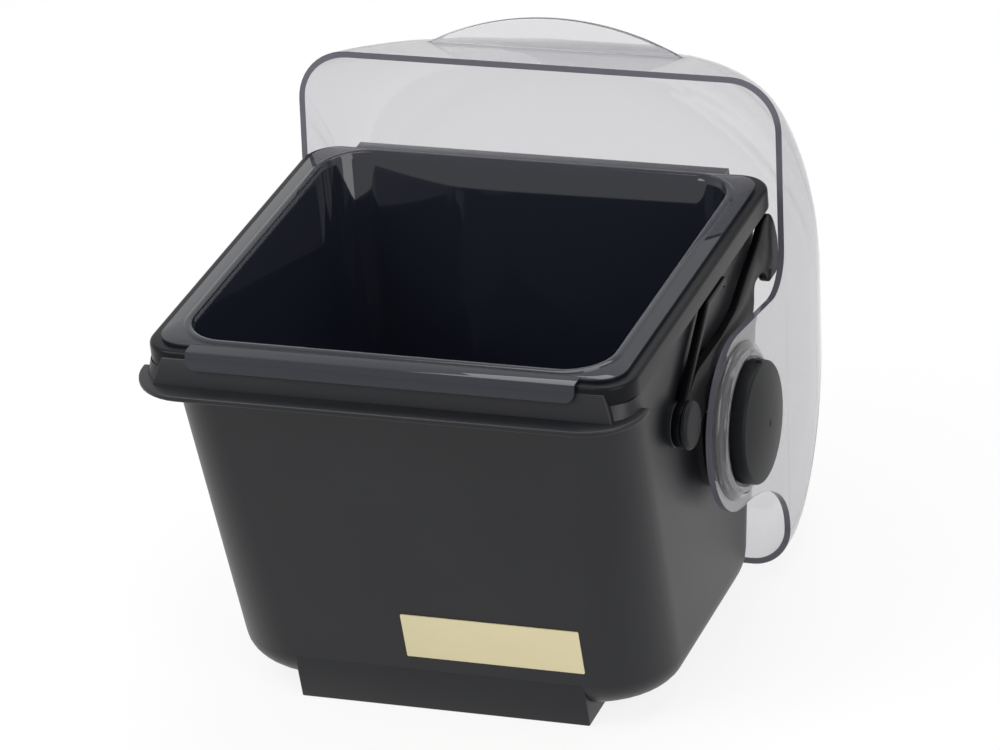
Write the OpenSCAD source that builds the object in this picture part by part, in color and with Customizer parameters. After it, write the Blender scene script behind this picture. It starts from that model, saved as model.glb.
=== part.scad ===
// Countertop garnish caddy: a tapered bucket on a skirt foot, a lift-out
// insert, and a clear domed lid that swings on two side pivots.
// Frame: millimetres, X across, -Y to the front, +Z up.
// The origin lies on the table, under the middle of the bucket.

/* [Bucket] */
// Outside width of the rim collar
rim_w = 157; // [154:1:162]
// Outside depth of the rim collar, front to back
rim_d = 146; // [144:1:150]
// Height of the collar's top above the table
rim_h = 131; // [127:1:140]
// Corner radius of the collar
rim_r = 11; // [8:1:14]
// Height of the collar band along the sides
collar_h = 7; // [5:0.5:9]
// Overhang of the collar past the side walls
collar_lip = 2.7; // [2.6:0.1:3.4]
// Overhang of the collar past the front and back walls
collar_lip_d = 3.2; // [2.5:0.1:4]
// Inward draft of each side wall over its whole height
side_draft = 4; // [1:0.2:5]
// Inward draft of the front and back walls over their whole height
front_draft = 17; // [12:1:20]
// Vertical corner radius at the top of the bucket
wall_r = 16; // [14:1:24]
// Radius along the bottom edge
floor_r = 12; // [8:1:18]
// Wall thickness of the bucket
wall_t = 2.6; // [1.8:0.1:3]
// Width of the small round-over on the collar's top edge
rim_round = 1.2; // [0.6:0.2:1.6]

/* [Foot] */
// Height of the bucket's underside above the table
foot_h = 4; // [3:0.5:8]
// Outside width of the skirt foot
foot_w = 96; // [80:1:104]
// Wall thickness of the skirt foot
foot_t = 2.8; // [2:0.2:4]
// Thickness of the cross ribs inside the foot
foot_rib_t = 2.4; // [1.6:0.2:3]
// How far the skirt foot's front panel runs up the wall
foot_rise = 12; // [8:1:16]

/* [Brim] */
// Depth of the front brim's top below the collar's top
brim_drop = 10; // [9.6:0.2:12]
// Thickness of the front brim
brim_t = 1.8; // [1.2:0.2:2.4]
// Reach of the brim past the foot of the front apron
brim_out = 6.6; // [6:0.2:8]
// Reach of the brim past the collar at each side
brim_side = 3.2; // [3:0.2:5]
// Outward slope of the front apron from top to bottom
apron_slope = 3; // [2:0.2:3.4]
// Half the width of the flat front apron at its top
apron_half_w = 71; // [66:1:72]
// Length of the brim's return round each front corner
brim_return = 9; // [6:1:14]

/* [Insert tray] */
// Distance from the insert's side edge to the collar's edge
insert_inset = 3.5; // [2.5:0.5:5]
// Thickness of the insert's plastic
insert_t = 1.2; // [1:0.1:1.4]
// Width of the insert's flat rim at the sides
insert_rim = 6.4; // [5:0.2:7]
// Height of the raised bead round the opening
bead_h = 0.8; // [0.4:0.1:1.2]
// Width of the raised bead
bead_w = 2.2; // [1.6:0.2:3]
// Width of the front and back flaps
flap_w = 125; // [110:1:128]
// Drop of the flaps below the insert's rim
flap_drop = 5.6; // [4:0.2:7]
// Inside depth of the insert
insert_depth = 104; // [80:1:108]
// Extra draft of the insert's walls, each side, over the bucket's
insert_draft = 1.5; // [0.5:0.25:3]

/* [Domed lid] */
// Clearance between the lid's side panels and the collar
lid_side_gap = 1.1; // [0.6:0.1:2]
// Thickness of the lid's plastic
lid_t = 2; // [1.6:0.1:2.4]
// Corner radius of the lid's rim
lid_r = 13; // [10:1:16]
// Height of the dome above its rim
dome_h = 51; // [48:1:60]
// Corner radius that the front corners grow to at the crown
crown_front_r = 80; // [60:1:80]
// Corner radius that the rear corners grow to at the crown
crown_back_r = 53; // [40:1:60]
// Squareness of the dome's front slope
front_n = 4.2; // [3.6:0.1:5]
// Squareness of the dome's rear slope
back_n = 2.4; // [2.2:0.1:3]
// Squareness of the dome's side slopes
side_n = 9; // [7:0.5:10]
// Distance from the pivot back to the lid's rear edge
lid_back = 66; // [65:0.5:67]
// Angle from closed to fully open, where the rear rim meets the foot
open_angle = 99; // [97:0.1:99]
// Gap between the closed lid and the brim under it
lid_seat_gap = 0.4; // [0.3:0.1:1]
// Radius of the round ear at each pivot
ear_r = 28.5; // [26:0.5:30]
// Outer radius of the raised ring round the pivot
ring_r = 25; // [23:0.5:26]
// Height of the raised ring above the ear
ring_h = 3; // [0.8:0.1:4]
// Width of the finger lip on the lid's front
grip_w = 81; // [60:1:96]
// Reach of the finger lip
grip_out = 6.6; // [4:0.2:9]
// Height of the finger lip above the lid's rim
grip_z = 31; // [20:1:36]
// Thickness of the finger lip
grip_t = 1.8; // [1.2:0.1:2.4]

/* [Pivot] */
// Pivot position behind the bucket's centre
hub_y = 14; // [12:0.5:16]
// Pivot height above the table
hub_z = 75.4; // [72:0.2:80]
// Outer radius of the hub barrel
hub_r = 21.2; // [18:0.2:22]
// Radius of the bucket's round boss inside the bracket
boss_r = 15; // [13.5:0.1:16]
// Radius of the journal on which the lid turns
journal_r = 12; // [9:0.1:13]
// Radial running clearance of the lid on its journals
run_gap = 0.05; // [0.02:0.01:0.1]
// Radius of the pivot cap's plug in the boss
plug_r = 8; // [6:0.1:8.5]
// Radius of the pivot cap's face
cap_r = 19.5; // [17:0.1:19.8]
// Thickness of the pivot cap's straight edge
cap_edge = 7.2; // [4:0.2:9]
// Height of the pivot cap's dome
cap_crown = 2; // [1:0.1:3]

/* [Side bracket] */
// Clearance between the bracket's face and the lid
bracket_gap = 0.6; // [0.5:0.05:0.8]
// Thickness of the bracket's arms
arm_t = 2.7; // [2:0.1:2.7]
// Depth of the hook's notch
notch_h = 6.5; // [4:0.5:8]
// Width of the hook's notch
notch_w = 13; // [9:0.5:14]
// Distance of the peg in front of the pivot
peg_dy = 41; // [39:0.5:43]
// Height of the peg above the pivot
peg_dz = 20; // [18:0.5:22]
// Radius of the peg's head
peg_head_r = 7.6; // [6.5:0.1:8]
// Radius of the bracket's eye round the peg
eye_r = 7.2; // [6.4:0.1:7.6]
// Radius of the peg's shank
peg_r = 4.5; // [3:0.1:5]
// Radial clearance of the plugs and pegs in their seats
plug_gap = 0.02; // [0.01:0.01:0.06]

/* [Hidden] */

$fn = 72;
arc_n = 8;
edge_n = 5;

// The bucket's walls, measured from the collar
wall_top_z = rim_h - collar_h;
wall_hw = rim_w / 2 - collar_lip;
wall_hd = rim_d / 2 - collar_lip_d;
floor_hw = wall_hw - side_draft;
floor_hd = wall_hd - front_draft;
floor_corner_r = wall_r + 8;
wall_rise = wall_top_z - foot_h;
foot_back_gap = 0.4;
foot_proud = 0.05;

// The brim and the apron above it
brim_top_z = rim_h - brim_drop;
apron_y = -(rim_d / 2 + apron_slope);
brim_front_y = apron_y - brim_out;
brim_hw = rim_w / 2 + brim_side;
brim_r = rim_r + 7;
corner_flare = 0.8;
lid_inset = 0;

// The insert's outline
insert_hw = rim_w / 2 - insert_inset;
insert_hd = rim_d / 2 - insert_inset;
flap_gap = 0.2;
flap_y = rim_d / 2 + flap_gap + insert_t;
flap_slope = 0.25;
flap_bevel = 0.8;
flap_r = 3.4;
tray_hw = insert_hw - insert_rim;
tray_hd = wall_hd - wall_t - 0.9;
tray_floor_z = rim_h + insert_t - insert_depth - insert_t;
tray_r = wall_r - wall_t + 1;

// The lid, measured from its pivot when it is closed
lid_hw = rim_w / 2 + lid_side_gap + lid_t;
lid_rim = brim_top_z + lid_seat_gap - hub_z;
lid_front = hub_y - brim_front_y - lid_inset;
rim_bevel = 0.8;
lid_mid = (lid_back - lid_front) / 2;
lid_hd = (lid_back + lid_front) / 2;
front_notch_u = 13;
front_notch_w = 14;
back_notch_u = lid_back - lid_r - ear_r - 1;
ring_step = 2.4;
ear_skin = 0.1;

// The lid's open stop: its rear rim meets the back of the foot
foot_back_y = hub_y + lid_back * cos(open_angle) + lid_rim * sin(open_angle) - foot_back_gap;

// Stations across the side, from the bucket outwards
ear_in = lid_hw - lid_t;
face_x = ear_in - bracket_gap;
arm_in = face_x - arm_t;
pad_x = arm_in;
journal_end = lid_hw + 0.35;
cap_face = journal_end + cap_edge;

peg_y = hub_y - peg_dy;
peg_z = hub_z + peg_dz;
peg_neck = 0.5;
peg_end_x = wall_hw - 12;

// Screw and plug in the hub boss, on each side of a thin web
screw_r = 1.5;
screw_head_r = 3.4;
screw_head_h = 2.6;
screw_seat_x = wall_hw - 4;
seat_x = screw_seat_x + 1.8;
dome_r = (pow(cap_r - 1, 2) + pow(cap_crown, 2)) / (2 * cap_crown);
peg_head_h = 1.9;

// Hook of the side bracket, measured from the pivot and the collar
arm_top_z = wall_top_z - 0.4;
hook_y = hub_y + 53;
hook_tip_z = wall_top_z - 22.5;
notch_y = hook_y - 11;
arm_low_z = hub_z + hub_r - 2;
bar_top_z = hub_z + hub_r + 10;

// Round arc points, counted from angle a0 to a1 about a centre
function arc(c, rx, ry, a0, a1, n) =
    [for (i = [0:n]) let (a = a0 + (a1 - a0) * i / n) [c[0] + rx * cos(a), c[1] + ry * sin(a)]];

// Rounded rectangle, given by its half sides and corner radius
function rounded(hw, hd, r) = concat(
    arc([hw - r, hd - r], r, r, 0, 90, arc_n),
    arc([r - hw, hd - r], r, r, 90, 180, arc_n),
    arc([r - hw, r - hd], r, r, 180, 270, arc_n),
    arc([hw - r, r - hd], r, r, 270, 360, arc_n));

// Outline that is rounded at its two front corners and square behind
function front_round(hw, front, back, r) = concat(
    arc([r - hw, front + r], r, r, 180, 270, arc_n),
    arc([hw - r, front + r], r, r, 270, 360, arc_n),
    [[hw, back], [-hw, back]]);

// Outline with each corner turned into a small curve of reach r
function soften(points, r) = let (n = len(points))
    [for (i = [0:n - 1]) let (p = points[i], before = points[(i + n - 1) % n] - p, after = points[(i + 1) % n] - p,
                              a = p + before * min(r / norm(before), 0.45), b = p + after * min(r / norm(after), 0.45))
        each [for (t = [0:1 / 3:1]) a * (1 - t) * (1 - t) + p * 2 * t * (1 - t) + b * t * t]];

// Straight strip across X, from y0 back to y1
function strip(hw, y0, y1) = [[-hw, y0], [hw, y0], [hw, y1], [-hw, y1]];

// Solid lofted through a stack of rings, each [height, outline points]
module loft(rings) {
    n = len(rings[0][1]);
    top = len(rings) - 1;
    points = [for (ring = rings) for (p = ring[1]) [p[0], p[1], ring[0]]];
    sides = [for (k = [0:top - 1]) for (i = [0:n - 1]) let (j = (i + 1) % n)
        each [[k * n + i, k * n + j, (k + 1) * n + j], [k * n + i, (k + 1) * n + j, (k + 1) * n + i]]];
    base = [for (i = [0:n - 1]) i];
    lid = [for (i = [n - 1:-1:0]) top * n + i];
    polyhedron(points, [for (f = concat([base], sides, [lid])) [for (i = [len(f) - 1:-1:0]) f[i]]]);
}

// Tapered tub with drafted walls and a rounded bottom edge
module tub(top_hw, top_hd, top_r, low_hw, low_hd, low_r, z0, z1, edge) {
    drop_w = (top_hw - low_hw) / (z1 - z0);
    drop_d = (top_hd - low_hd) / (z1 - z0);
    loft(concat(
        [for (i = [0:edge_n]) let (a = 90 - 90 * i / edge_n, rise = edge * (1 - sin(a)),
                                   inset = edge * (1 - cos(a)))
            [z0 + rise, rounded(low_hw + drop_w * rise - inset, low_hd + drop_d * rise - inset,
                                max(low_r - inset * 0.35, 3))]],
        [[z1, rounded(top_hw, top_hd, top_r)]]));
}

// Cylinder along X from x0 to x1, about a point in the side plane
module along_x(x0, x1, r, y, z) {
    translate([x0, y, z]) rotate([0, 90, 0]) cylinder(h = x1 - x0, r = r);
}

// Flat side-plane shape, extruded along X from x0 to x1
module side_plate(points, x0, x1) {
    translate([x0, 0, 0]) rotate([90, 0, 90]) linear_extrude(x1 - x0) polygon(points);
}

// Copy of the children on each side
module both_sides() {
    children();
    mirror([1, 0, 0]) children();
}

// Collar band: rounded top edge, deck, and a skirt that is open below
module collar() {
    difference() {
        loft([for (step = [[collar_h, 0], [rim_round, 0], [rim_round * 0.3, 0.3], [0, 1]])
            [rim_h - step[0], rounded(rim_w / 2 - step[1] * rim_round, rim_d / 2 - step[1] * rim_round,
                                      rim_r)]]);
        translate([0, 0, wall_top_z - 1]) linear_extrude(collar_h - wall_t + 1)
            polygon(rounded(rim_w / 2 - wall_t, rim_d / 2 - wall_t, rim_r - wall_t));
    }
    // upper end of the walls, up into the deck
    translate([0, 0, wall_top_z - 0.5]) linear_extrude(collar_h - 0.5)
        polygon(rounded(wall_hw, wall_hd, wall_r));
}

// Front apron: corners flare out from the collar down to the brim
module apron() {
    apron_z = brim_top_z - 0.3;
    difference() {
        loft([[apron_z, front_round(rim_w / 2 + corner_flare, apron_y,
                                    -rim_d / 2 + brim_return, rim_r + 1)],
              [wall_top_z + 1, front_round(rim_w / 2 - 0.1, -rim_d / 2 + 0.1, -20, rim_r)]]);
        loft([[apron_z - 1, front_round(rim_w / 2 + corner_flare - wall_t, apron_y + wall_t,
                                        0, rim_r - 1)],
              [wall_top_z + 2, front_round(rim_w / 2 - wall_t, -rim_d / 2 + wall_t,
                                           0, rim_r - wall_t)]]);
    }
    // flat apron between the corners
    loft([[apron_z, strip(apron_half_w + apron_slope, apron_y - 0.1, apron_y + wall_t)],
          [rim_h - rim_round - 1, strip(apron_half_w, -rim_d / 2 - 0.1, -rim_d / 2 + wall_t)]]);
}

// Thin brim round the front, on which the closed lid lands
module brim() {
    translate([0, 0, brim_top_z - brim_t]) linear_extrude(brim_t) difference() {
        polygon(front_round(brim_hw, brim_front_y, -rim_d / 2 + brim_return, brim_r));
        polygon(front_round(rim_w / 2 + corner_flare - wall_t, apron_y + wall_t, 0, rim_r));
    }
}

// Skirt foot, open below, with its front panel proud of the front wall
module foot() {
    slope = front_draft / wall_rise;
    front_y = -(floor_hd - foot_h * slope) - foot_proud;
    panel_z = foot_h + foot_rise;
    // cross ribs, whose crossing is the origin
    translate([-foot_rib_t / 2, front_y + foot_t / 2, 0])
        cube([foot_rib_t, foot_back_y - front_y - foot_t, foot_h + wall_t / 2]);
    translate([-foot_w / 2 + foot_t / 2, -foot_rib_t / 2, 0])
        cube([foot_w - foot_t, foot_rib_t, foot_h + wall_t / 2]);
    difference() {
        side_plate([[front_y, 0], [foot_back_y, 0], [foot_back_y, foot_h + wall_t],
                    [front_y + floor_r, foot_h + wall_t], [front_y - panel_z * slope + foot_t, panel_z],
                    [front_y - panel_z * slope, panel_z]], -foot_w / 2, foot_w / 2);
        translate([-foot_w / 2 + foot_t, front_y + foot_t, -1])
            cube([foot_w - 2 * foot_t, foot_back_y - front_y - 2 * foot_t, foot_h + 1]);
    }
}

// Shape inside the bucket
module bucket_hollow() {
    tub(wall_hw - wall_t, wall_hd - wall_t, wall_r - wall_t,
        floor_hw - wall_t, floor_hd - wall_t, floor_corner_r - wall_t,
        foot_h + wall_t, wall_top_z + collar_h + 1, floor_r - wall_t);
}

module outer_box() {
    color([0.16, 0.165, 0.175]) difference() {
        union() {
            tub(wall_hw, wall_hd, wall_r, floor_hw, floor_hd, floor_corner_r,
                foot_h, wall_top_z, floor_r);
            collar();
            apron();
            brim();
            foot();
            both_sides() {
                along_x(wall_hw - 6, pad_x, hub_r, hub_y, hub_z);
                along_x(wall_hw - 6, face_x, boss_r, hub_y, hub_z);
                along_x(wall_hw - 6, pad_x, eye_r, peg_y, peg_z);
            }
        }
        bucket_hollow();
        both_sides() {
            along_x(seat_x, face_x + 1, plug_r, hub_y, hub_z);
            along_x(wall_hw - 12, face_x + 1, screw_r + 0.3, hub_y, hub_z);
            along_x(wall_hw - 12, screw_seat_x, screw_head_r + 0.3, hub_y, hub_z);
            along_x(peg_end_x, face_x + 1, peg_r, peg_y, peg_z);
        }
    }
}

// Flap that hangs over the collar, with rounded lower corners
module flap(slope) {
    top_z = rim_h + insert_t;
    low_z = top_z - flap_drop;
    hw = flap_w / 2;
    loft([[rim_h, strip(hw, -flap_y, 0)], [top_z - flap_bevel, strip(hw, -flap_y, 0)],
          [top_z, strip(hw, flap_bevel - flap_y, 0)]]);
    loft(concat(
        [for (a = [0:18:90]) let (z = low_z + flap_r * (1 - cos(a)), out = slope * (top_z - flap_bevel - z))
            [z, strip(hw - flap_r * (1 - sin(a)), -flap_y - out, insert_t - flap_y - out)]],
        [[rim_h + 0.1, strip(hw, -flap_y, insert_t - flap_y)]]));
}

module insert_tray() {
    color([0.13, 0.15, 0.22, 0.75]) difference() {
        union() {
            // flat rim on the collar
            translate([0, 0, rim_h]) linear_extrude(insert_t)
                polygon(rounded(insert_hw, insert_hd, rim_r - insert_inset + 1));
            // raised bead round the opening
            translate([0, 0, rim_h]) linear_extrude(insert_t + bead_h)
                polygon(rounded(tray_hw + bead_w, tray_hd + bead_w, tray_r + bead_w));
            flap(flap_slope);
            mirror([0, 1, 0]) flap(0);
            // walls and floor
            tub(tray_hw, tray_hd, tray_r,
                tray_hw - side_draft - insert_draft, tray_hd - front_draft + 1, tray_r - 3,
                tray_floor_z, rim_h + insert_t, floor_r - 3);
        }
        tub(tray_hw - insert_t, tray_hd - insert_t, tray_r - insert_t,
            tray_hw - side_draft - insert_draft - insert_t, tray_hd - front_draft + 1 - insert_t,
            tray_r - 3 - insert_t, tray_floor_z + insert_t, rim_h + insert_t + bead_h + 1,
            floor_r - 3 - insert_t);
    }
}

// Share of a half width that is left at share t of the dome's height
function slope(t, n) = pow(1 - pow(t, n), 1 / n);

// Outline of the dome at share t of its height, inset by t_in
function dome_outline(t, t_in) =
    let (hw = lid_hw * slope(t, side_n) - t_in,
         front = lid_mid - lid_hd * slope(t, front_n) + t_in,
         back = lid_mid + lid_hd * slope(t, back_n) - t_in,
         depth = back - front - 1,
         fr = min(lid_r - t_in + (crown_front_r - lid_r) * pow(t, 1.2), hw - 1, depth * 0.62),
         br = min(lid_r - t_in + (crown_back_r - lid_r) * t * t, hw - 1, depth - fr))
    concat(arc([hw - br, back - br], br, br, 0, 90, arc_n), arc([br - hw, back - br], br, br, 90, 180, arc_n),
           arc([fr - hw, front + fr], fr, fr, 180, 270, arc_n), arc([hw - fr, front + fr], fr, fr, 270, 360, arc_n));

// Dome solid over the lid's rim, in closed-lid coordinates, inset by t_in
module dome(t_in, below) {
    steps = [0, 0.14, 0.27, 0.39, 0.5, 0.6, 0.69, 0.77, 0.84, 0.9, 0.95, 0.985];
    translate([0, 0, lid_rim]) loft(concat(
        below > 0 ? [[-below, dome_outline(0, t_in)]] : [],
        [for (t = steps) [(dome_h - t_in) * t, dome_outline(t, t_in)]]));
}

// Side panel that reaches down to the pivot, as points in the side plane
function ear_outline() = concat(
    arc([0, 0], ear_r, ear_r, 180, 360, 24),
    arc([ear_r + back_notch_u, 0], back_notch_u, lid_rim, 180, 90, 10),
    [[ear_r + back_notch_u, lid_rim + 5], [-ear_r - front_notch_u, lid_rim + 5]],
    arc([-ear_r - front_notch_u, lid_rim - front_notch_w], front_notch_u, front_notch_w, 90, 0, 8));

module closed_lid() {
    grip_r = (grip_w * grip_w / 4 + grip_out * grip_out) / (2 * grip_out);
    difference() {
        union() {
            dome(0, 0);
            both_sides() {
                side_plate(ear_outline(), ear_in + ear_skin, lid_hw - ear_skin);
                along_x(lid_hw - 1, lid_hw + ring_h, ring_r - ring_step, 0, 0);
                along_x(lid_hw - 1, lid_hw + ring_h / 2, ring_r, 0, 0);
            }
            // finger lip: a shallow crescent on the front wall
            translate([0, -lid_front - grip_out + grip_r, lid_rim + grip_z])
                linear_extrude(grip_t) intersection() {
                    circle(r = grip_r, $fn = 180);
                    translate([-grip_w / 2, -grip_r]) square([grip_w, grip_out + 12]);
                }
        }
        dome(lid_t, 0.5);
        // bevel inside the front rim, which clears the collar as the lid shuts
        side_plate([[-lid_front + lid_t - rim_bevel - 0.1, lid_rim - 0.1],
                    [-lid_front + lid_t + 0.5, lid_rim - 0.1],
                    [-lid_front + lid_t + 0.5, lid_rim + rim_bevel + 0.5]], lid_r - lid_hw, lid_hw - lid_r);
        both_sides() {
            along_x(ear_in - 1, lid_hw + 3, journal_r + run_gap, 0, 0);
            along_x(lid_hw, lid_hw + ring_h + 1, cap_r + 0.6, 0, 0);
        }
    }
}

module dome_lid() {
    color([0.8, 0.8, 0.83, 0.4])
        translate([0, hub_y, hub_z]) rotate([-open_angle, 0, 0]) closed_lid();
}

// Bracket bar, from the peg over the hub to the hook
function bar_outline() = soften(
    [[hub_y, hub_z + boss_r + 1], [peg_y + 8, peg_z - eye_r + 1], [peg_y, peg_z - eye_r + 1],
     [peg_y, peg_z + eye_r - 0.8], [peg_y + 13, bar_top_z + 0.4], [hub_y - 4, bar_top_z],
     [hub_y + 12, bar_top_z + 1.6], [hub_y + 26, wall_top_z - 9.5], [notch_y - 5, wall_top_z - 5.5],
     [hook_y - 10.5, arm_top_z - 1], [hook_y - 5, arm_top_z + 0.4], [hook_y - 1, arm_top_z - 4],
     [hook_y + 1.6, wall_top_z - 13], [hook_y, hook_tip_z], [notch_y, hook_tip_z],
     [notch_y - 2.6, hook_tip_z + notch_h], [notch_y - notch_w, hook_tip_z + notch_h],
     [notch_y - notch_w - 1, hook_tip_z - 0.5], [hub_y + 17, arm_low_z - 4]], 3);

// Slender brace up to the collar, with a short tab along it
function brace_outline() = soften(
    [[peg_y - 2, peg_z + eye_r - 2], [peg_y + 0.6, peg_z + eye_r - 2],
     [hub_y - 11.6, arm_top_z - 2.2], [hub_y + 2, arm_top_z - 2.2],
     [hub_y + 2.6, arm_top_z - 3.6], [hub_y + 4.2, arm_top_z - 3.6],
     [hub_y + 4.2, arm_top_z], [hub_y - 13, arm_top_z]], 1);

module side_bracket() {
    color([0.15, 0.155, 0.165]) difference() {
        union() {
            side_plate(bar_outline(), arm_in, face_x);
            side_plate(brace_outline(), arm_in, face_x);
            along_x(arm_in, face_x, eye_r, peg_y, peg_z);
            along_x(arm_in, face_x, hub_r, hub_y, hub_z);
        }
        along_x(arm_in - 1, face_x + 1, boss_r + plug_gap, hub_y, hub_z);
        along_x(arm_in - 1, face_x + 1, peg_r + plug_gap, peg_y, peg_z);
    }
}

module side_bracket_right() { side_bracket(); }
module side_bracket_left() { mirror([1, 0, 0]) side_bracket(); }

// Headed peg that pins the bracket to the bucket's small boss
module bracket_peg() {
    neck = face_x + peg_neck;
    color([0.17, 0.175, 0.185]) translate([0, peg_y, peg_z]) rotate([0, 90, 0]) rotate_extrude()
        polygon(concat(
            [[0, wall_hw - 4], [peg_r - plug_gap, wall_hw - 4], [peg_r - plug_gap, face_x],
             [eye_r - 1.2, face_x], [eye_r - 1.2, neck], [peg_head_r, neck]],
            arc([peg_head_r - 1.4, neck + peg_head_h - 1.2], 1.4, 1.2, 0, 90, 4),
            [[0, neck + peg_head_h + 0.3]]));
}
module bracket_peg_right() { bracket_peg(); }
module bracket_peg_left() { mirror([1, 0, 0]) bracket_peg(); }

// Pivot cap: plug in the boss, journal for the lid, domed black face
module pivot_cap() {
    dome_a = asin((cap_r - 1) / dome_r);
    color([0.17, 0.175, 0.185]) difference() {
        translate([0, hub_y, hub_z]) rotate([0, 90, 0]) rotate_extrude()
            polygon(concat(
                [[0, seat_x], [plug_r - plug_gap, seat_x], [plug_r - plug_gap, face_x],
                 [journal_r, face_x], [journal_r, journal_end], [cap_r - 0.8, journal_end],
                 [cap_r - 0.8, journal_end + 1.2], [cap_r, journal_end + 1.8]],
                arc([cap_r - 1, cap_face - 1], 1, 1, 0, 70, 4),
                arc([0, cap_face + cap_crown - dome_r], dome_r, dome_r, 90 - dome_a, 90, 10)));
        along_x(seat_x - 1, face_x + 2, screw_r, hub_y, hub_z);
    }
    // small index nib on the cap's edge
    color([0.17, 0.175, 0.185]) translate([0, hub_y, hub_z]) rotate([-12, 0, 0])
        translate([cap_face - 2.4, -1, cap_r - 1]) cube([2, 2, 1.7]);
}
module pivot_cap_right() { pivot_cap(); }
module pivot_cap_left() { mirror([1, 0, 0]) pivot_cap(); }

// Screw that draws the pivot cap home from inside the bucket
module pivot_screw() {
    color([0.7, 0.7, 0.72]) translate([0, hub_y, hub_z]) rotate([0, 90, 0]) rotate_extrude()
        polygon([[0, screw_seat_x - screw_head_h], [screw_head_r - 0.5, screw_seat_x - screw_head_h],
                 [screw_head_r, screw_seat_x - screw_head_h + 0.6], [screw_head_r, screw_seat_x],
                 [screw_r - plug_gap, screw_seat_x], [screw_r - plug_gap, face_x + 1], [0, face_x + 1]]);
}
module pivot_screw_right() { pivot_screw(); }
module pivot_screw_left() { mirror([1, 0, 0]) pivot_screw(); }

outer_box();
insert_tray();
dome_lid();
side_bracket_left();
side_bracket_right();
bracket_peg_left();
bracket_peg_right();
pivot_cap_left();
pivot_cap_right();
pivot_screw_left();
pivot_screw_right();
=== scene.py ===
"""Looks of the countertop garnish caddy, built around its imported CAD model.

Sizes in the modelling code are millimetres and become metres in finish_piece().
X is across, -Y the front, +Z up; the lid is modelled shut, about its pivot.
"""

import math

import bmesh
import bpy
from mathutils import Matrix, Vector


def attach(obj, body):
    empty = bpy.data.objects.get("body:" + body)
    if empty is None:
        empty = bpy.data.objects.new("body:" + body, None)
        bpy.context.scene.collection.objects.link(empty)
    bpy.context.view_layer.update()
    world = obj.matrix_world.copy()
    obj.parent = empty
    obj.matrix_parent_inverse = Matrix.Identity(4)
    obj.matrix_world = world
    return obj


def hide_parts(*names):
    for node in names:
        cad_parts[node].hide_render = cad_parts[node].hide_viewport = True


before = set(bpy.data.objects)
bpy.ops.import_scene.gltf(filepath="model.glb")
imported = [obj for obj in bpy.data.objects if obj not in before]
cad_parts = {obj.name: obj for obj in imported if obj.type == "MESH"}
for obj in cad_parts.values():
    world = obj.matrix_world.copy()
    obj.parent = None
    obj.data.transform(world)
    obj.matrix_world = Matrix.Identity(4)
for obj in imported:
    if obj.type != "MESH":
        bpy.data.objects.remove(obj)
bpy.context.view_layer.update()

# ---------------------------------------------------------------- sizes
# As in the CAD source, unless a comment says otherwise.
# HW and HD are half a width and half a depth, R a corner radius, Z a height and T a thickness.
RIM_HW, RIM_HD, RIM_Z, RIM_R, RIM_ROUND = 78.5, 73, 131, 11, 1.2
WALL_HW, WALL_HD, WALL_Z, WALL_R, WALL = 75.8, 69.8, 124, 16, 2.6
FLOOR_HW, FLOOR_HD, FLOOR_Z, FLOOR_R, FLOOR_EDGE = 71.8, 52.8, 4, 24, 12
WALL_SLOPE = (WALL_HD - FLOOR_HD) / (WALL_Z - FLOOR_Z)
BRIM_Z, BRIM_T, BRIM_HW, BRIM_FRONT, BRIM_BACK, BRIM_R = 121, 1.8, 81.7, -82.6, -64, 18
APRON_Y, APRON_HW, APRON_SLOPE = -76, 71, 3
APRON_BACK_TOP, APRON_BACK_LOW, FLARE_T = -70.4, -73.4, 1.6
DECK_LIP = 0.8
FOOT_HW, FOOT_T, FOOT_BACK, FOOT_TOP = 48, 2.8, 48.6, 16
FOOT_PROUD, RIB_T, RIB_SUNK = 0.05, 2.4, 0.2
HUB_Y, HUB_Z, HUB_R, BOSS_R, PLUG_R = 14, 75.4, 21.2, 15, 8
PEG_Y, PEG_Z, EYE_R, PEG_R = -27, 95.4, 7.2, 4.5
BOSS_IN, ARM_IN, FACE_X = 70, 76.3, 79
TRAY_HW, TRAY_HD, TRAY_R, TRAY_FLOOR = 67.4, 65.1, 13.2, 28.2
TRAY_DRAFT_W, TRAY_DRAFT_D, TRAY_EDGE = 5.5, 16, 7.8
INSERT_HW, INSERT_HD, INSERT_R, INSERT_T, INSERT_Z = 75, 69.5, 8.5, 1.2, 132.2
FLAP_HW, FLAP_Y, FLAP_LOW, FLAP_R = 62.5, 74.4, 126.6, 3.4
# The lid's rim is 0.4 higher than in the CAD: its thickened edge then clears the brim when it is shut.
LID_HW, LID_T, LID_R, LID_BACK, LID_FRONT, LID_RIM, DOME_H = 81.6, 2, 13, 66, 96.6, 46.4, 50.6
LID_MID, LID_HD = (LID_BACK - LID_FRONT) / 2, (LID_BACK + LID_FRONT) / 2
SIDE_N, FRONT_N, BACK_N = 9, 4.2, 2.4
# The front corners are rounder than in the CAD.
FRONT_EXTRA_R, CROWN_FRONT_R, CROWN_BACK_R = 4, 74, 53
EAR_R, JOURNAL_R, OPEN_ANGLE = 28.5, 12.05, 99
EAR_FRONT_TURN, EAR_BACK_TURN = 13, 23.5
# The lip is nearer the rim, and reaches further out, than in the CAD.
LIP_OUT, LIP_HW, LIP_Z, LIP_T = 10, 44, 64, 1.8
LIP_ARC_R, LIP_ROOT_Y, LIP_TAPER = 95, -94.9, 2
# The label isn't in the CAD.
LABEL_HW, LABEL_HH, LABEL_X, LABEL_Z = 29.2, 8.1, 20.1, 28.9
LABEL_BORDER, LABEL_CORNER, LABEL_T, LABEL_PROUD = 0.75, 0.4, 0.4, 0.35


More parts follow.
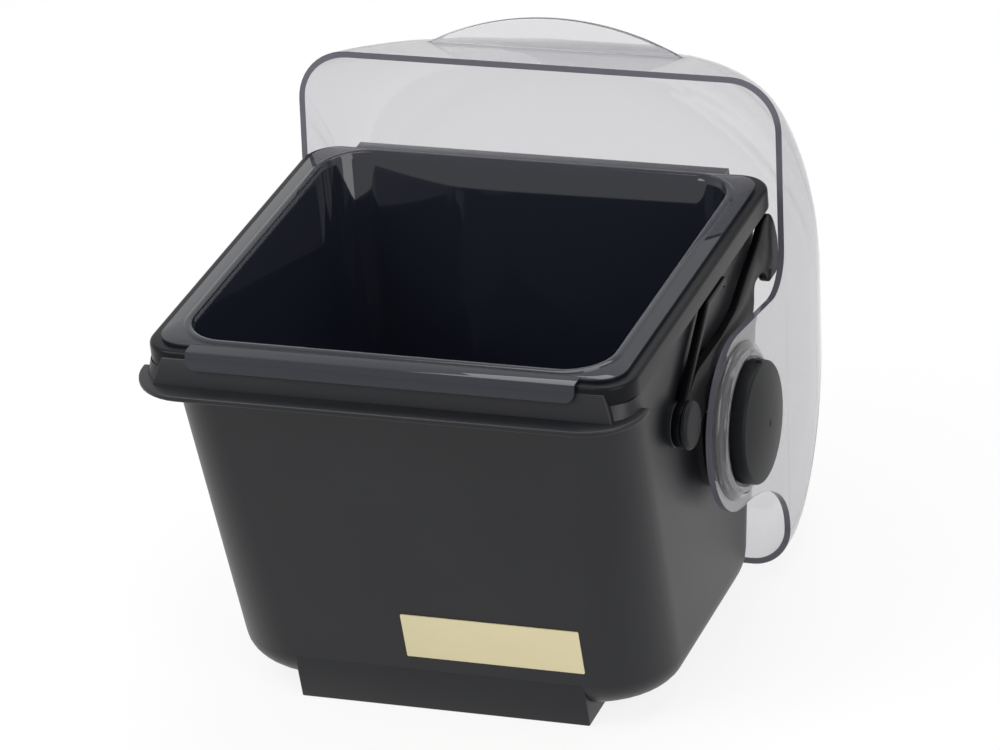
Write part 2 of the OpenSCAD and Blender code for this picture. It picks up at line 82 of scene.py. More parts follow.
# ---------------------------------------------------------------- materials
def make_grain_group():
    """Fine moulded grain: uneven gloss, faint mottling and a shallow bump."""
    group = bpy.data.node_groups.new("moulded_grain", "ShaderNodeTree")
    for name, default in (("Scale", 900.0), ("Depth", 0.02), ("Roughness", 0.4), ("Unevenness", 0.1)):
        socket = group.interface.new_socket(name, in_out="INPUT", socket_type="NodeSocketFloat")
        socket.default_value = default
    group.interface.new_socket("Roughness", in_out="OUTPUT", socket_type="NodeSocketFloat")
    group.interface.new_socket("Mottle", in_out="OUTPUT", socket_type="NodeSocketFloat")
    group.interface.new_socket("Normal", in_out="OUTPUT", socket_type="NodeSocketVector")
    nodes, links = group.nodes, group.links
    given, result = nodes.new("NodeGroupInput"), nodes.new("NodeGroupOutput")
    coords = nodes.new("ShaderNodeTexCoord")
    fine = nodes.new("ShaderNodeTexNoise")
    fine.inputs["Detail"].default_value = 4
    links.new(coords.outputs["Object"], fine.inputs["Vector"])
    links.new(given.outputs["Scale"], fine.inputs["Scale"])
    broad = nodes.new("ShaderNodeTexNoise")
    broad.inputs["Scale"].default_value = 22
    broad.inputs["Detail"].default_value = 5
    links.new(coords.outputs["Object"], broad.inputs["Vector"])
    swing = nodes.new("ShaderNodeMath")
    swing.operation = "MULTIPLY_ADD"
    links.new(broad.outputs["Fac"], swing.inputs[0])
    links.new(given.outputs["Unevenness"], swing.inputs[1])
    links.new(given.outputs["Roughness"], swing.inputs[2])
    links.new(swing.outputs[0], result.inputs["Roughness"])
    links.new(broad.outputs["Fac"], result.inputs["Mottle"])
    bump = nodes.new("ShaderNodeBump")
    bump.inputs["Distance"].default_value = 0.0004
    links.new(given.outputs["Depth"], bump.inputs["Strength"])
    links.new(fine.outputs["Fac"], bump.inputs["Height"])
    links.new(bump.outputs["Normal"], result.inputs["Normal"])
    return group


GRAIN = make_grain_group()


def new_material(name):
    mat = bpy.data.materials.new(name)
    mat.use_nodes = True
    tree = mat.node_tree
    return mat, tree, tree.nodes["Principled BSDF"], tree.nodes["Material Output"]


def place_grain(tree, shader, scale, depth, roughness, unevenness):
    grain = tree.nodes.new("ShaderNodeGroup")
    grain.node_tree = GRAIN
    for name, value in (("Scale", scale), ("Depth", depth), ("Roughness", roughness),
                        ("Unevenness", unevenness)):
        grain.inputs[name].default_value = value
    tree.links.new(grain.outputs["Roughness"], shader.inputs["Roughness"])
    tree.links.new(grain.outputs["Normal"], shader.inputs["Normal"])
    return grain


def moulded(name, dark, light, roughness, gloss=0.5, scale=1400, depth=0.05, unevenness=0.08):
    """Moulded plastic or plated metal: two near tones, mottled, with grain."""
    mat, tree, shader, _ = new_material(name)
    grain = place_grain(tree, shader, scale, depth, roughness - unevenness / 2, unevenness)
    tones = tree.nodes.new("ShaderNodeValToRGB")
    tones.color_ramp.elements[0].position = 0.35
    tones.color_ramp.elements[0].color = (*dark, 1)
    tones.color_ramp.elements[1].position = 0.65
    tones.color_ramp.elements[1].color = (*light, 1)
    tree.links.new(grain.outputs["Mottle"], tones.inputs["Fac"])
    tree.links.new(tones.outputs["Color"], shader.inputs["Base Color"])
    shader.inputs["Specular IOR Level"].default_value = gloss
    return mat, shader


def clear(name, colour, roughness, transmission, absorbed, density, shade):
    """Clear tinted plastic: lamps pass through it, and it darkens with its thickness."""
    mat, tree, shader, out = new_material(name)
    place_grain(tree, shader, 12, 0.006, roughness, 0.03)
    shader.inputs["Base Color"].default_value = (*colour, 1)
    shader.inputs["IOR"].default_value = 1.49
    shader.inputs["Transmission Weight"].default_value = transmission
    through = tree.nodes.new("ShaderNodeBsdfTransparent")
    through.inputs["Color"].default_value = (*shade, 1)
    path = tree.nodes.new("ShaderNodeLightPath")
    mix = tree.nodes.new("ShaderNodeMixShader")
    tree.links.new(path.outputs["Is Shadow Ray"], mix.inputs["Fac"])
    tree.links.new(shader.outputs["BSDF"], mix.inputs[1])
    tree.links.new(through.outputs["BSDF"], mix.inputs[2])
    tree.links.new(mix.outputs["Shader"], out.inputs["Surface"])
    absorb = tree.nodes.new("ShaderNodeVolumeAbsorption")
    absorb.inputs["Color"].default_value = (*absorbed, 1)
    absorb.inputs["Density"].default_value = density
    tree.links.new(absorb.outputs["Volume"], out.inputs["Volume"])
    return mat


BUCKET, _ = moulded("satin_black_moulding", (0.003, 0.0034, 0.0052), (0.005, 0.0055, 0.0075),
                    roughness=0.40, gloss=0.37)
# The collar is the same black moulding as the bucket, given a smoother and darker copy of its material: the
# smoother gloss is the plastic's own, the darker tone is painted shade.
COLLAR_PAINTED_DARK, _ = moulded("smoother_black_rim_painted_dark", (0.0025, 0.0028, 0.004), (0.004, 0.0044, 0.006),
                    roughness=0.3, gloss=0.13, depth=0.02)
BRACKET, _ = moulded("satin_black_bracket", (0.0012, 0.0013, 0.0018), (0.002, 0.0022, 0.0028),
                     roughness=0.3, gloss=0.07)
CAP, _ = moulded("soft_gloss_cap", (0.008, 0.0086, 0.0098), (0.011, 0.0118, 0.013),
                 roughness=0.45, gloss=0.12, depth=0.03)
STEEL, steel_shader = moulded("zinc_plated_steel", (0.52, 0.53, 0.56), (0.62, 0.62, 0.64), roughness=0.32)
steel_shader.inputs["Metallic"].default_value = 1
PAPER, _ = moulded("cream_label_face", (0.63, 0.56, 0.345), (0.66, 0.59, 0.37),
                   roughness=0.45, gloss=0.4, scale=2600, depth=0.02)
BORDER, _ = moulded("white_label_border", (0.86, 0.86, 0.84), (0.9, 0.9, 0.88),
                    roughness=0.4, gloss=0.4, scale=2600, depth=0.02)
LID_CLEAR = clear("clear_smoke_lid", (0.97, 0.97, 0.98), roughness=0.0, transmission=0.97,
                  absorbed=(0.742, 0.737, 0.752), density=500, shade=(0.8, 0.8, 0.81))
# The lid's cut edge gets a darker, less clear copy of the lid's plastic: painted shade for the dark line
# the edge shows when seen end-on.
LID_EDGE_PAINTED_DARK = clear("smoke_lid_edge_painted_dark", (0.16, 0.15, 0.19), roughness=0.12, transmission=0.35,
                 absorbed=(0.4, 0.38, 0.5), density=90, shade=(0.6, 0.6, 0.65))
INSERT_CLEAR = clear("blue_smoke_insert", (0.02, 0.023, 0.038), roughness=0.01, transmission=0.5,
                     absorbed=(0.25, 0.28, 0.42), density=260, shade=(0.3, 0.33, 0.45))


# ---------------------------------------------------------------- modelling tools
def ring(bm, hw, front, back, z, front_r, back_r, steps=10):
    """Closed loop of edges at height z: a rectangle with bevelled corners."""
    before = set(bm.faces)
    made = bmesh.ops.create_grid(bm, x_segments=1, y_segments=1, size=1)["verts"]
    bmesh.ops.scale(bm, vec=(hw, (back - front) / 2, 1), verts=made)
    bmesh.ops.translate(bm, vec=(0, (front + back) / 2, z), verts=made)
    corners = {True: [v for v in made if v.co.y < (front + back) / 2],
               False: [v for v in made if v.co.y > (front + back) / 2]}
    for at_front, r in ((True, front_r), (False, back_r)):
        if r > 0:
            bmesh.ops.bevel(bm, geom=corners[at_front], offset=r, offset_type="OFFSET", affect="VERTICES",
                            segments=steps, profile=0.5, material=-1)
    face = (set(bm.faces) - before).pop()
    edges = list(face.edges)
    bmesh.ops.delete(bm, geom=[face], context="FACES_ONLY")
    return edges


def front_chain(bm, hw, front, back, z, r):
    """Open chain round the front: a ring without its back edge."""
    edges = ring(bm, hw, front, back, z, r, 0)
    rear = [e for e in edges if all(abs(v.co.y - back) < 0.001 for v in e.verts)]
    bmesh.ops.delete(bm, geom=rear, context="EDGES")
    return [e for e in edges if e.is_valid]


def verts_of(geometry):
    return [g for g in geometry if isinstance(g, bmesh.types.BMVert)]


def stack(bm, loops):
    for low, high in zip(loops, loops[1:]):
        bmesh.ops.bridge_loops(bm, edges=low + high)


def close(bm, loop):
    bmesh.ops.contextual_create(bm, geom=loop)


def tub_loops(bm, top, low, edge, steps=8):
    """Loops of a tapered tub, from its floor up: top and low are (hw, hd, r, z)."""
    drop_w = (top[0] - low[0]) / (top[3] - low[3])
    drop_d = (top[1] - low[1]) / (top[3] - low[3])
    loops = []
    for i in range(steps + 1):
        a = math.radians(90 - 90 * i / steps)
        rise, inset = edge * (1 - math.sin(a)), edge * (1 - math.cos(a))
        hw, hd = low[0] + drop_w * rise - inset, low[1] + drop_d * rise - inset
        r = max(low[2] - inset * 0.35, 3)
        loops.append(ring(bm, hw, -hd, hd, low[3] + rise, r, r))
    loops.append(ring(bm, top[0], -top[1], top[1], top[3], top[2], top[2]))
    return loops


def lathe(bm, profile, y, z, side, steps=96):
    """Spin a closed profile of (x, r) points about an X axis at y, z."""
    points = [bm.verts.new((side * x, y, z + r)) for x, r in profile]
    edges = [bm.edges.new(pair) for pair in zip(points, points[1:] + points[:1])]
    bmesh.ops.spin(bm, geom=points + edges, cent=(0, y, z), axis=(1, 0, 0), angle=math.tau,
                   steps=steps, use_merge=True, use_duplicate=False)


def sharpen(mesh, angle):
    mesh.shade_smooth()
    mesh.set_sharp_from_angle(angle=math.radians(angle))


def finish_piece(name, bm, body, materials, node=None, smooth=32, modifiers=(), outward=True):
    """Turn a bmesh in millimetres into a piece in metres that rides on a body."""
    bmesh.ops.remove_doubles(bm, verts=bm.verts, dist=0.001)
    if outward:
        bmesh.ops.recalc_face_normals(bm, faces=bm.faces)
    bmesh.ops.scale(bm, vec=(0.001, 0.001, 0.001), verts=bm.verts)
    mesh = bpy.data.meshes.new(name)
    bm.to_mesh(mesh)
    bm.free()
    for mat in materials:
        mesh.materials.append(mat)
    piece = bpy.data.objects.new(name, mesh)
    bpy.context.scene.collection.objects.link(piece)
    for kind, values in modifiers:
        modifier = piece.modifiers.new(kind.lower(), kind)
        for key, value in values.items():
            setattr(modifier, key, value)
    if modifiers:
        solid = bpy.data.meshes.new_from_object(piece.evaluated_get(bpy.context.evaluated_depsgraph_get()))
        piece.modifiers.clear()
        piece.data = solid
    sharpen(piece.data, smooth)
    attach(piece, body)
    if node:
        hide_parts(node)
    return piece


def wall(thickness, offset, rim=0):
    """Solidify: rim is how many slots further the cut edge's material is."""
    return ("SOLIDIFY", {"thickness": thickness / 1000, "offset": offset, "use_even_offset": True,
                         "material_offset_rim": rim})


def soft_edges(width, segments=2, angle=40):
    """Bevel on edges sharper than the angle."""
    return ("BEVEL", {"width": width / 1000, "segments": segments, "limit_method": "ANGLE",
                      "angle_limit": math.radians(angle), "use_clamp_overlap": True})


# ---------------------------------------------------------------- bucket
def build_tub():
    """Drafted walls, rounded floor and rolled collar, as one closed shell."""
    bm = bmesh.new()
    outer = tub_loops(bm, (WALL_HW, WALL_HD, WALL_R, WALL_Z), (FLOOR_HW, FLOOR_HD, FLOOR_R, FLOOR_Z),
                      FLOOR_EDGE)
    inner = tub_loops(bm, (WALL_HW - WALL, WALL_HD - WALL, WALL_R - WALL, RIM_Z - DECK_LIP),
                      (FLOOR_HW - WALL, FLOOR_HD - WALL, FLOOR_R - WALL, FLOOR_Z + WALL), FLOOR_EDGE - WALL)
    collar = [ring(bm, RIM_HW - 0.5, 0.5 - RIM_HD, RIM_HD - 0.5, WALL_Z, RIM_R, RIM_R),
              ring(bm, RIM_HW, -RIM_HD, RIM_HD, WALL_Z + 0.5, RIM_R, RIM_R)]
    for i in range(6):
        a = math.radians(18 * i)
        inset = RIM_ROUND * (1 - math.cos(a))
        collar.append(ring(bm, RIM_HW - inset, inset - RIM_HD, RIM_HD - inset,
                           RIM_Z - RIM_ROUND * (1 - math.sin(a)), RIM_R - inset, RIM_R - inset))
    deck = ring(bm, WALL_HW - WALL + DECK_LIP, WALL - WALL_HD - DECK_LIP, WALL_HD - WALL + DECK_LIP, RIM_Z,
                WALL_R - WALL + DECK_LIP, WALL_R - WALL + DECK_LIP)
    stack(bm, outer + collar + [deck] + inner[::-1])
    close(bm, outer[0])
    close(bm, inner[0])
    for face in bm.faces:
        # Collar faces, above the wall's top, take the darker copy of the black material: painted shade.
        face.material_index = int(all(v.co.z > WALL_Z - 0.01 for v in face.verts))
    finish_piece("bucket_tub", bm, "bucket", [BUCKET, COLLAR_PAINTED_DARK], "outer_box")


def build_apron():
    """Flat apron that slopes out from the collar, and the flared corners behind its ends."""
    bm = bmesh.new()
    block = bmesh.ops.create_cube(bm, size=2)["verts"]
    for v in block:
        top, front = v.co.z > 0, v.co.y < 0
        v.co.x *= APRON_HW if top else APRON_HW + APRON_SLOPE
        if front:
            v.co.y = (-RIM_HD if top else APRON_Y) - 0.1
        else:
            v.co.y = APRON_BACK_TOP if top else APRON_BACK_LOW
        v.co.z = RIM_Z - RIM_ROUND - 0.8 if top else BRIM_Z - 0.4
    finish_piece("bucket_apron", bm, "bucket", [BUCKET], "outer_box",
                 modifiers=[soft_edges(0.35, 3)])
    bm = bmesh.new()
    stack(bm, [front_chain(bm, RIM_HW - 0.2, 0.2 - RIM_HD, BRIM_BACK, WALL_Z + 1, RIM_R),
               front_chain(bm, RIM_HW + 0.2, -RIM_HD - 0.9, BRIM_BACK, WALL_Z - 1, RIM_R),
               front_chain(bm, RIM_HW + 0.8, APRON_Y, BRIM_BACK, BRIM_Z - 0.3, RIM_R + 1)])
    finish_piece("bucket_corner_flare", bm, "bucket", [BUCKET], "outer_box",
                 modifiers=[wall(FLARE_T, -1)])


def build_brim():
    """Thin shelf round the front, on which the shut lid rests."""
    bm = bmesh.new()
    stack(bm, [front_chain(bm, RIM_HW - 1, APRON_Y + 2, BRIM_BACK, BRIM_Z, RIM_R),
               front_chain(bm, BRIM_HW, BRIM_FRONT, BRIM_BACK, BRIM_Z, BRIM_R)])
    if sum(f.normal.z for f in bm.faces) < 0:
        bmesh.ops.reverse_faces(bm, faces=bm.faces)
    finish_piece("bucket_brim", bm, "bucket", [BUCKET], "outer_box", outward=False,
                 modifiers=[wall(BRIM_T, -1), soft_edges(0.5, 3)])


def build_foot():
    """Skirt foot flush with the front wall, hollow below, with crossed ribs inside."""
    def wall_y(z):
        return -(FLOOR_HD + (z - FLOOR_Z) * WALL_SLOPE) - FOOT_PROUD
    bm = bmesh.new()
    outline = [(wall_y(0), 0), (FOOT_BACK, 0), (FOOT_BACK, FLOOR_Z + WALL),
               (wall_y(0) + FLOOR_EDGE, FLOOR_Z + WALL), (wall_y(FOOT_TOP) + FOOT_T, FOOT_TOP),
               (wall_y(FOOT_TOP), FOOT_TOP)]
    points = [bm.verts.new((-FOOT_HW, y, z)) for y, z in outline]
    edges = [bm.edges.new(pair) for pair in zip(points, points[1:] + points[:1])]
    side = bmesh.ops.contextual_create(bm, geom=edges)["faces"]
    moved = bmesh.ops.extrude_face_region(bm, geom=side)["geom"]
    bmesh.ops.translate(bm, vec=(2 * FOOT_HW, 0, 0), verts=verts_of(moved))
    bmesh.ops.recalc_face_normals(bm, faces=bm.faces)
    below = [f for f in bm.faces if all(abs(v.co.z) < 0.001 for v in f.verts)]
    bmesh.ops.inset_region(bm, faces=below, thickness=FOOT_T, use_even_offset=True)
    ceiling = bmesh.ops.extrude_discrete_faces(bm, faces=below)["faces"]
    bmesh.ops.translate(bm, vec=(0, 0, FLOOR_Z), verts=[v for f in ceiling for v in f.verts])
    for wide, deep, mid_y in ((RIB_T, FOOT_BACK - wall_y(0) - FOOT_T, (FOOT_BACK + wall_y(0)) / 2),
                              (2 * FOOT_HW - FOOT_T, RIB_T, 0)):
        rib = bmesh.ops.create_cube(bm, size=1)["verts"]
        bmesh.ops.scale(bm, vec=(wide, deep, FLOOR_Z + RIB_SUNK), verts=rib)
        bmesh.ops.translate(bm, vec=(0, mid_y, (FLOOR_Z + RIB_SUNK) / 2), verts=rib)
    finish_piece("bucket_foot", bm, "bucket", [BUCKET], "outer_box",
                 modifiers=[soft_edges(0.5, 3)])


def build_bosses(side, hand):
    """Stepped hub boss round the cap's plug, and the small boss behind the peg."""
    seat = ARM_IN - 0.02
    bm = bmesh.new()
    lathe(bm, [(BOSS_IN, PLUG_R), (BOSS_IN, HUB_R), (ARM_IN - 0.3, HUB_R), (seat, HUB_R - 0.4),
               (seat, BOSS_R), (FACE_X, BOSS_R), (FACE_X, PLUG_R)], HUB_Y, HUB_Z, side)
    lathe(bm, [(BOSS_IN, PEG_R), (BOSS_IN, EYE_R), (ARM_IN - 0.3, EYE_R), (seat, EYE_R - 0.3),
               (seat, PEG_R)], PEG_Y, PEG_Z, side, 64)
    finish_piece("bucket_bosses_" + hand, bm, "bucket", [BUCKET], "outer_box")


def build_label():
    """Blank label plate on the front wall, with a white border round a cream face."""
    bm = bmesh.new()
    plate = bmesh.ops.create_grid(bm, x_segments=1, y_segments=1, size=1)
    bmesh.ops.scale(bm, vec=(LABEL_HW, LABEL_HH, 1), verts=plate["verts"])
    bmesh.ops.bevel(bm, geom=plate["verts"], offset=LABEL_CORNER, offset_type="OFFSET", affect="VERTICES",
                    segments=3, profile=0.5, material=-1)
    inner = list(bm.faces)
    bmesh.ops.inset_region(bm, faces=inner, thickness=LABEL_BORDER, use_even_offset=True)
    for face in inner:
        face.material_index = 1
    tilt = math.atan(WALL_SLOPE)
    turn = Matrix.Rotation(math.radians(90) + tilt, 4, "X")
    bmesh.ops.transform(bm, matrix=turn, verts=bm.verts)
    if sum(f.normal.y for f in bm.faces) > 0:
        bmesh.ops.reverse_faces(bm, faces=bm.faces)
    wall_y = -(FLOOR_HD + (LABEL_Z - FLOOR_Z) * WALL_SLOPE)
    bmesh.ops.translate(bm, vec=(LABEL_X, wall_y - LABEL_PROUD, LABEL_Z), verts=bm.verts)
    finish_piece("front_label_plate", bm, "bucket", [BORDER, PAPER], outward=False,
                 modifiers=[wall(LABEL_T, -1)])


# ---------------------------------------------------------------- insert
def build_insert():
    """One sheet from the flaps over the beaded rim down to the floor, thickened outwards."""
    bm = bmesh.new()
    rim = ring(bm, INSERT_HW, -INSERT_HD, INSERT_HD, INSERT_Z, INSERT_R, INSERT_R)
    bead = ((3.4, 0), (3.2, 0.5), (2.7, 0.8), (1.5, 0.8), (0.9, 0.5), (0.6, -0.3), (0.3, -0.7))
    beads = [ring(bm, TRAY_HW + w, -TRAY_HD - w, TRAY_HD + w, INSERT_Z + h, TRAY_R + w, TRAY_R + w)
             for w, h in bead]
    tub = tub_loops(bm, (TRAY_HW, TRAY_HD, TRAY_R, INSERT_Z - 1.4),
                    (TRAY_HW - TRAY_DRAFT_W, TRAY_HD - TRAY_DRAFT_D, TRAY_R - 3, TRAY_FLOOR), TRAY_EDGE)
    stack(bm, [rim] + beads + tub[::-1])
    close(bm, tub[0])
    for sign, slope in ((-1, 0.25), (1, 0)):
        long_edge = next(e for e in bm.edges if e.is_boundary and e.calc_length() > 100
                         and all(abs(v.co.y - sign * INSERT_HD) < 0.01 for v in e.verts))
        first, last = sorted(long_edge.verts, key=lambda v: v.co.x)
        length = last.co.x - first.co.x
        _, left = bmesh.utils.edge_split(long_edge, first, (-FLAP_HW - first.co.x) / length)
        rest = next(e for e in left.link_edges if last in e.verts)
        _, right = bmesh.utils.edge_split(rest, left, 2 * FLAP_HW / (last.co.x + FLAP_HW))
        edge = next(e for e in left.link_edges if right in e.verts)
        for y, z in ((FLAP_Y - 0.8, INSERT_Z), (FLAP_Y - 0.25, INSERT_Z - 0.22), (FLAP_Y, INSERT_Z - 0.8),
                     (FLAP_Y + slope * (INSERT_Z - 0.8 - FLAP_LOW), FLAP_LOW)):
            out = bmesh.ops.extrude_edge_only(bm, edges=[edge])["geom"]
            edge = next(g for g in out if isinstance(g, bmesh.types.BMEdge))
            for v in edge.verts:
                v.co.y, v.co.z = sign * y, z
        bmesh.ops.bevel(bm, geom=list(edge.verts), offset=FLAP_R, offset_type="OFFSET", affect="VERTICES",
                        segments=6, profile=0.5, material=-1)
    bmesh.ops.recalc_face_normals(bm, faces=bm.faces)
    rim_face = next(f for f in bm.faces if f.calc_center_median().z > INSERT_Z - 0.01
                    and abs(f.calc_center_median().x) > 71)
    if rim_face.normal.z < 0:
        bmesh.ops.reverse_faces(bm, faces=bm.faces)
    finish_piece("insert_shell", bm, "insert", [INSERT_CLEAR], "insert_tray", outward=False,
                 modifiers=[wall(INSERT_T, -1), soft_edges(0.25, 2, 60)])


# ---------------------------------------------------------------- lid
def share(t, n):
    """How much of its full reach a superellipse of power n keeps at share t of its height."""
    return (1 - t ** n) ** (1 / n)


def lid_ring(bm, t):
    """The dome's outline at share t of its height."""
    hw = LID_HW * share(t, SIDE_N)
    front, back = LID_MID - LID_HD * share(t, FRONT_N), LID_MID + LID_HD * share(t, BACK_N)
    depth = back - front - 1
    front_r = min(LID_R + FRONT_EXTRA_R + (CROWN_FRONT_R - LID_R) * t ** 1.2, hw - 1, depth * 0.62)
    back_r = min(LID_R + (CROWN_BACK_R - LID_R) * t * t, hw - 1, depth - front_r)
    return ring(bm, hw, front, back, LID_RIM + DOME_H * t, front_r, back_r, 12)


def arc_from(bm, vert, y, z, degrees, steps):
    """Draw an arc of edges from a vertex, about an X axis at y, z, and give its last vertex."""
    last = bmesh.ops.spin(bm, geom=[vert], cent=(vert.co.x, y, z), axis=(1, 0, 0),
                          angle=math.radians(degrees), steps=steps, use_merge=False,
                          use_duplicate=False)["geom_last"]
    return verts_of(last)[0]


def add_ear(bm, side):
    """Side panel that reaches down from the rim to the pivot, round its journal hole."""
    def on_rim(edge):
        return all(abs(v.co.x - side * LID_HW) < 0.01 and abs(v.co.z - LID_RIM) < 0.01 for v in edge.verts)
    rim = next(e for e in bm.edges if on_rim(e) and e.calc_length() > 60)
    first, last = sorted(rim.verts, key=lambda v: v.co.y)
    y_front, y_back = -EAR_R - EAR_FRONT_TURN, EAR_R + EAR_BACK_TURN
    _, start = bmesh.utils.edge_split(rim, first, (y_front - first.co.y) / (last.co.y - first.co.y))
    rest = next(e for e in start.link_edges if last in e.verts)
    _, end = bmesh.utils.edge_split(rest, start, (y_back - y_front) / (last.co.y - y_front))
    before = set(bm.edges)
    turn = arc_from(bm, start, y_front, LID_RIM - EAR_FRONT_TURN, -90, 8)
    low = bm.verts.new((turn.co.x, turn.co.y, 0))
    bm.edges.new((turn, low))
    round_end = arc_from(bm, low, 0, 0, 180, 36)
    known = set(bm.verts)
    top = arc_from(bm, round_end, y_back, 0, -90, 14)
    for v in set(bm.verts) - known:
        v.co.z *= LID_RIM / EAR_BACK_TURN
    bmesh.ops.pointmerge(bm, verts=[top, end], merge_co=end.co)
    place = Matrix.Translation((side * LID_HW, 0, 0)) @ Matrix.Rotation(math.radians(90), 4, "Y")
    bmesh.ops.create_circle(bm, segments=64, radius=JOURNAL_R, matrix=place)
    outline = [e for e in set(bm.edges) - before if e.is_valid]
    across = [e for e in bm.edges if e not in outline and on_rim(e)
              and all(y_front - 0.01 < v.co.y < y_back + 0.01 for v in e.verts)]
    bmesh.ops.triangle_fill(bm, use_beauty=True, edges=outline + across)


def shut_to_open(bm):
    """Turn a shut part of the lid about its pivot to where it is at rest."""
    turn = Matrix.Translation((0, HUB_Y, HUB_Z)) @ Matrix.Rotation(math.radians(-OPEN_ANGLE), 4, "X")
    bmesh.ops.transform(bm, matrix=turn, verts=bm.verts)


def build_lid():
    """Dome and its two side panels, as one sheet thickened inwards, with its cut edge painted darker as
    painted shade.
    """
    bm = bmesh.new()
    heights = (0, 0.07, 0.14, 0.2, 0.27, 0.33, 0.39, 0.45, 0.5, 0.55, 0.6, 0.645, 0.69, 0.73, 0.77, 0.805,
               0.84, 0.87, 0.9, 0.925, 0.95, 0.968, 0.985, 0.994, 0.9985)
    loops = [lid_ring(bm, t) for t in heights]
    stack(bm, loops)
    close(bm, loops[-1])
    for side in (1, -1):
        add_ear(bm, side)
    bmesh.ops.remove_doubles(bm, verts=bm.verts, dist=0.001)
    bmesh.ops.recalc_face_normals(bm, faces=bm.faces)
    crown = max(bm.faces, key=lambda f: f.calc_center_median().z)
    if crown.normal.z < 0:
        bmesh.ops.reverse_faces(bm, faces=bm.faces)
    shut_to_open(bm)
    finish_piece("lid_shell", bm, "lid", [LID_CLEAR, LID_EDGE_PAINTED_DARK], "dome_lid", outward=False,
                 modifiers=[wall(LID_T, -1, 1)])


def build_ear_ring(side, hand):
    """Raised ring round the pivot hole, on the outside of the ear."""
    bm = bmesh.new()
    profile = ((-0.3, 20.3), (2.2, 20.3), (2.75, 20.6), (3, 21.2), (2.85, 22), (2.1, 22.6), (1.5, 23),
               (1.35, 24.1), (0.9, 24.8), (0.2, 25.1), (-0.3, 25.2))
    lathe(bm, [(LID_HW + out, r) for out, r in profile], 0, 0, side)
    shut_to_open(bm)
    finish_piece("lid_ear_ring_" + hand, bm, "lid", [LID_CLEAR], "dome_lid", 60)


def build_finger_lip():
    """Shallow crescent on the front wall of the lid."""
    bm = bmesh.new()
    centre_y = -LID_FRONT - LIP_OUT + LIP_ARC_R
    half = math.asin(LIP_HW / LIP_ARC_R)
    start = bm.verts.new((-LIP_HW, centre_y - LIP_ARC_R * math.cos(half), LIP_Z))
    bmesh.ops.spin(bm, geom=[start], cent=(0, centre_y, LIP_Z), axis=(0, 0, 1), angle=2 * half, steps=40,
                   use_merge=False, use_duplicate=False)
    for x in (-LIP_HW + LIP_TAPER, LIP_HW - LIP_TAPER):
        bm.verts.new((x, LIP_ROOT_Y, LIP_Z))
    plate = bmesh.ops.contextual_create(bm, geom=close_outline(bm))["faces"]
    moved = bmesh.ops.extrude_face_region(bm, geom=plate)["geom"]
    bmesh.ops.translate(bm, vec=(0, 0, LIP_T), verts=verts_of(moved))
    shut_to_open(bm)
    finish_piece("lid_finger_lip", bm, "lid", [LID_CLEAR], "dome_lid",
                 modifiers=[soft_edges(0.4, 3, 50)])


def close_outline(bm):
    """Join the open arc's ends to the two back corners, and give every edge of the outline."""
    ends = sorted((v for v in bm.verts if len(v.link_edges) == 1), key=lambda v: v.co.x)
    backs = sorted((v for v in bm.verts if not v.link_edges), key=lambda v: v.co.x)
    for pair in ((ends[0], backs[0]), (backs[0], backs[1]), (backs[1], ends[1])):
        bm.edges.new(pair)
    return list(bm.edges)


# ---------------------------------------------------------------- brackets, pegs, caps, screws
def build_copy(node, name, material, bevel=0):
    """Smooth copy of a CAD solid whose shape is right, with its edges softened where bevel is given."""
    bm = bmesh.new()
    bm.from_mesh(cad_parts[node].data)
    bmesh.ops.remove_doubles(bm, verts=bm.verts, dist=0.000002)
    bmesh.ops.dissolve_limit(bm, angle_limit=math.radians(0.6), verts=bm.verts, edges=bm.edges)
    bmesh.ops.scale(bm, vec=(1000, 1000, 1000), verts=bm.verts)
    for face in bm.faces:
        face.material_index = 0
    finish_piece(name, bm, "bucket", [material], node, 30, [soft_edges(bevel, 2, 32)] if bevel else ())


def build_side_fittings():
    for hand in ("left", "right"):
        build_copy("side_bracket_" + hand, "bracket_" + hand, BRACKET, 0.3)
        build_copy("bracket_peg_" + hand, "peg_" + hand, CAP)
        build_copy("pivot_cap_" + hand, "cap_" + hand, CAP)
        build_copy("pivot_screw_" + hand, "screw_" + hand, STEEL)


# ---------------------------------------------------------------- floor, light, camera
def seen_through(tree):
    """1 where a camera, transmission or glossy ray arrives, else 0."""
    path = tree.nodes.new("ShaderNodeLightPath")
    total = path.outputs["Is Camera Ray"]
    for name in ("Is Transmission Ray", "Is Glossy Ray"):
        join = tree.nodes.new("ShaderNodeMath")
        join.operation = "MAXIMUM"
        tree.links.new(total, join.inputs[0])
        tree.links.new(path.outputs[name], join.inputs[1])
        total = join.outputs[0]
    return total


def add_floor():
    """Pale floor that glows white in the picture and still takes a shadow."""
    bpy.ops.mesh.primitive_plane_add(size=8)
    floor = bpy.context.object
    floor.name = "floor"
    mat, tree, shader, out = new_material("pale_floor")
    shader.inputs["Base Color"].default_value = (0.9, 0.9, 0.9, 1)
    shader.inputs["Roughness"].default_value = 0.8
    glow = tree.nodes.new("ShaderNodeEmission")
    weight = tree.nodes.new("ShaderNodeMath")
    weight.operation = "MULTIPLY"
    weight.inputs[1].default_value = 0.85
    tree.links.new(seen_through(tree), weight.inputs[0])
    mix = tree.nodes.new("ShaderNodeMixShader")
    tree.links.new(weight.outputs[0], mix.inputs["Fac"])
    tree.links.new(shader.outputs["BSDF"], mix.inputs[1])
    tree.links.new(glow.outputs["Emission"], mix.inputs[2])
    tree.links.new(mix.outputs["Shader"], out.inputs["Surface"])
    floor.data.materials.append(mat)


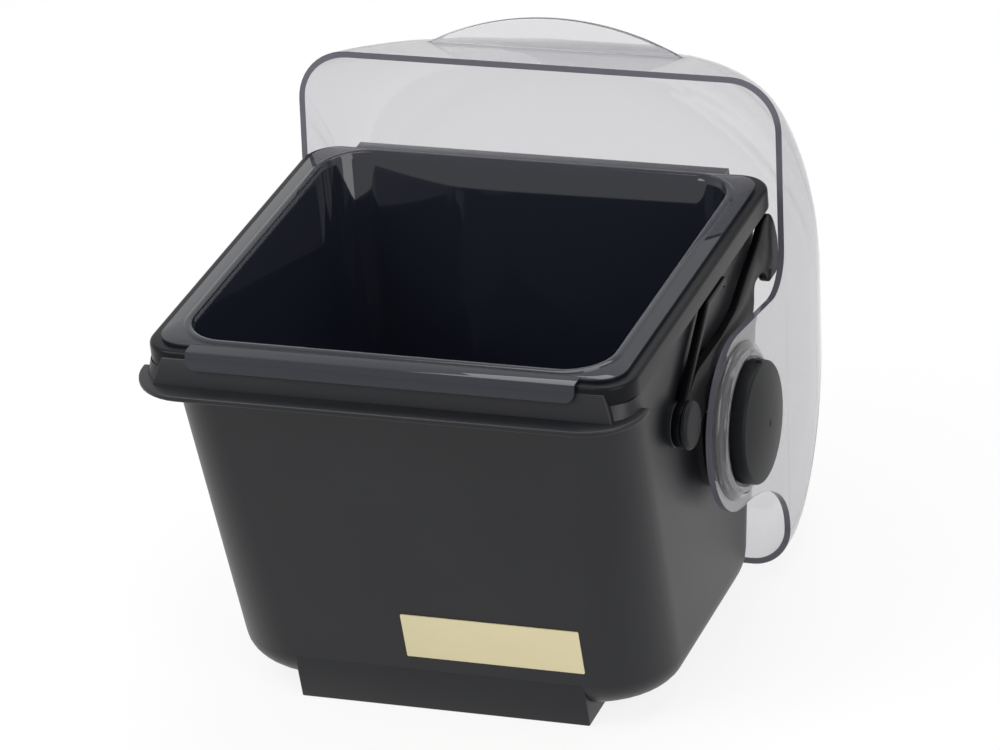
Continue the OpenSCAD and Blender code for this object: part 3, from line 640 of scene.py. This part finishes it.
def add_world():
    """White surroundings, dimmer as a light than they look."""
    world = bpy.data.worlds.new("studio")
    bpy.context.scene.world = world
    world.use_nodes = True
    tree = world.node_tree
    back = tree.nodes["Background"]
    back.inputs["Color"].default_value = (1, 1, 1, 1)
    level = tree.nodes.new("ShaderNodeMapRange")
    level.inputs["To Min"].default_value = 0.5
    level.inputs["To Max"].default_value = 1.0
    tree.links.new(seen_through(tree), level.inputs["Value"])
    tree.links.new(level.outputs["Result"], back.inputs["Strength"])


def add_lamp(name, place, size, power):
    """Rectangular lamp that points at the middle of the object."""
    data = bpy.data.lights.new(name, "AREA")
    data.shape = "RECTANGLE"
    data.size, data.size_y = size
    data.energy = power
    lamp = bpy.data.objects.new(name, data)
    lamp.location = place
    aim = Vector((0, 0, 0.07)) - Vector(place)
    lamp.rotation_euler = aim.to_track_quat("-Z", "Y").to_euler()
    bpy.context.scene.collection.objects.link(lamp)


def add_camera():
    """Camera at the photograph's viewing angle: turned right, above, and rolled a little."""
    yaw, rise, roll = (math.radians(a) for a in (22.66, 27.34, 5.93))
    back = Vector((math.sin(yaw) * math.cos(rise), -math.cos(yaw) * math.cos(rise), math.sin(rise)))
    right = Vector((math.cos(yaw), math.sin(yaw), 0))
    up = back.cross(right)
    axes = Matrix((math.cos(roll) * right - math.sin(roll) * up,
                   math.sin(roll) * right + math.cos(roll) * up, back))
    data = bpy.data.cameras.new("camera")
    data.sensor_width = 36
    data.lens = 208.66
    camera = bpy.data.objects.new("camera", data)
    place = axes.transposed() @ Vector((-0.0006, 0.0806, 1.849))
    camera.matrix_world = Matrix.Translation(place) @ axes.transposed().to_4x4()
    bpy.context.scene.collection.objects.link(camera)
    bpy.context.scene.camera = camera


build_tub()
build_apron()
build_brim()
build_foot()
build_label()
build_insert()
build_lid()
build_finger_lip()
for side, hand in ((1, "right"), (-1, "left")):
    build_bosses(side, hand)
    build_ear_ring(side, hand)
build_side_fittings()
add_floor()
add_world()
add_lamp("key", (-0.6, -0.5, 0.9), (0.7, 0.7), 6.4)
add_lamp("fill", (0.9, -0.6, 0.5), (0.6, 0.8), 4.2)
add_lamp("top", (0.1, 0.3, 1.2), (0.9, 0.9), 7)
add_camera()
bpy.context.scene.view_settings.view_transform = "Standard"
